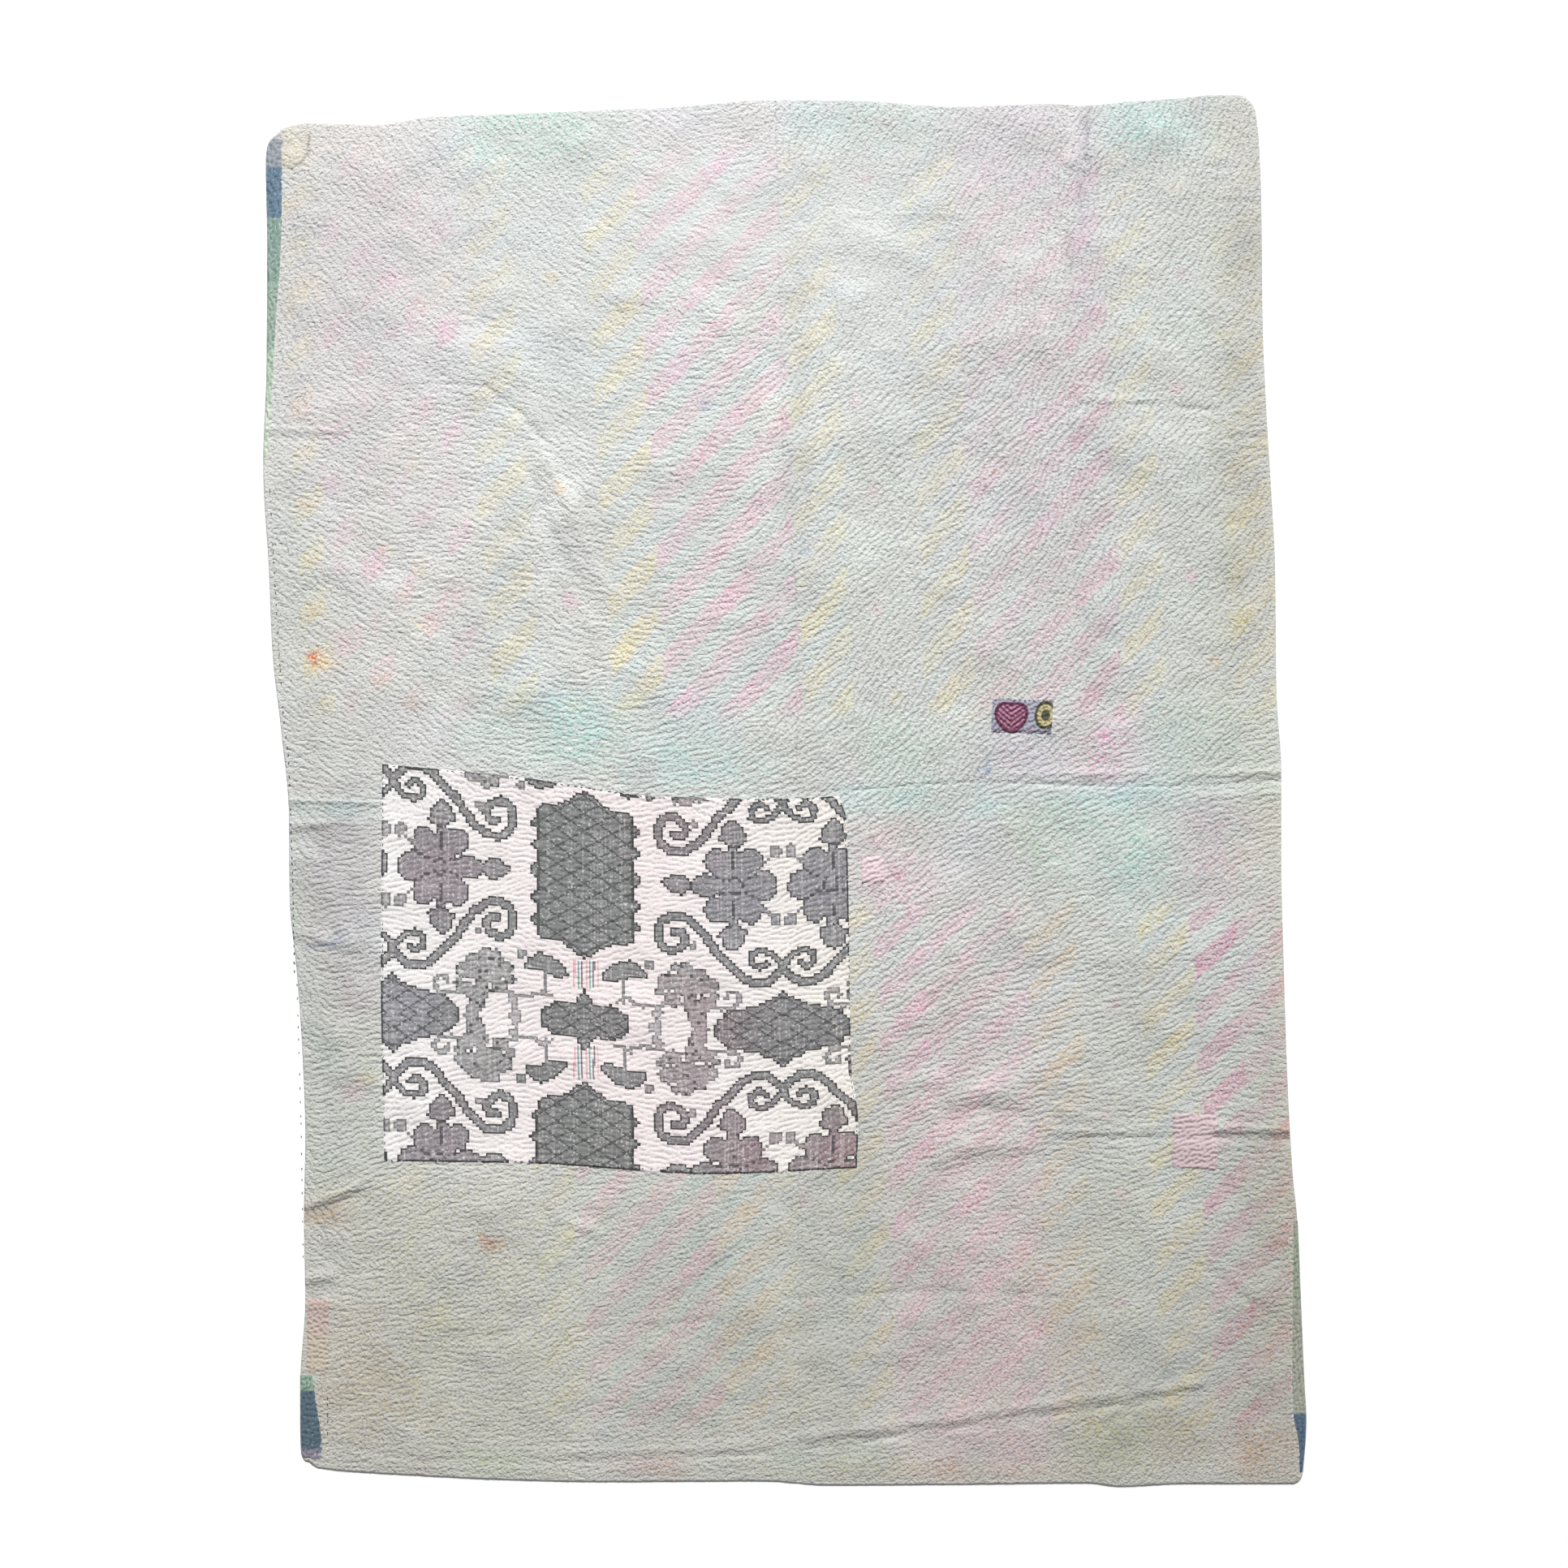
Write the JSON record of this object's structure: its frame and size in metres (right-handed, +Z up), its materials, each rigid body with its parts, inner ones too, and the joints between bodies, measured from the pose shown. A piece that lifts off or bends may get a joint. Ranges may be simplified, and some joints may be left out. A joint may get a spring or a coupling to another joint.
{
  "type": "kantha quilt",
  "caption": "Flat rectangular hand-quilted cotton bedcover with puckered running-stitch quilting, soft creases and sewn-on printed and plain patches.",
  "frame": {"origin": "middle of the quilt's outline on the surface it lies on", "axes": "+X to the right and +Y to the top of the quilt seen from above its front, +Z up out of the front face"},
  "size_m": [1.516, 2.0235, 0.0112],
  "materials": {
    "front_cloth": "matt washed cotton, white with faded pastel stripes",
    "printed_cloth": "matt cotton, off-white with charcoal print",
    "paisley_cloth": "matt cotton, grey-blue with maroon and ochre print",
    "pink_cloth": "matt cotton",
    "cream_cloth": "matt cotton, pink fading to cream",
    "back_cloth": "matt cotton, blue and green stripes"
  },
  "bodies": {
    "root": {"quilt_body": "front_cloth", "print_patch_large": "printed_cloth", "print_patch_small": "paisley_cloth", "pink_patch_middle": "pink_cloth", "pink_patch_right": "pink_cloth", "cream_patch_left": "cream_cloth", "back_edge_left_upper": "back_cloth", "back_edge_left_lower": "back_cloth", "back_edge_right_lower": "back_cloth"}
  },
  "joints": []
}
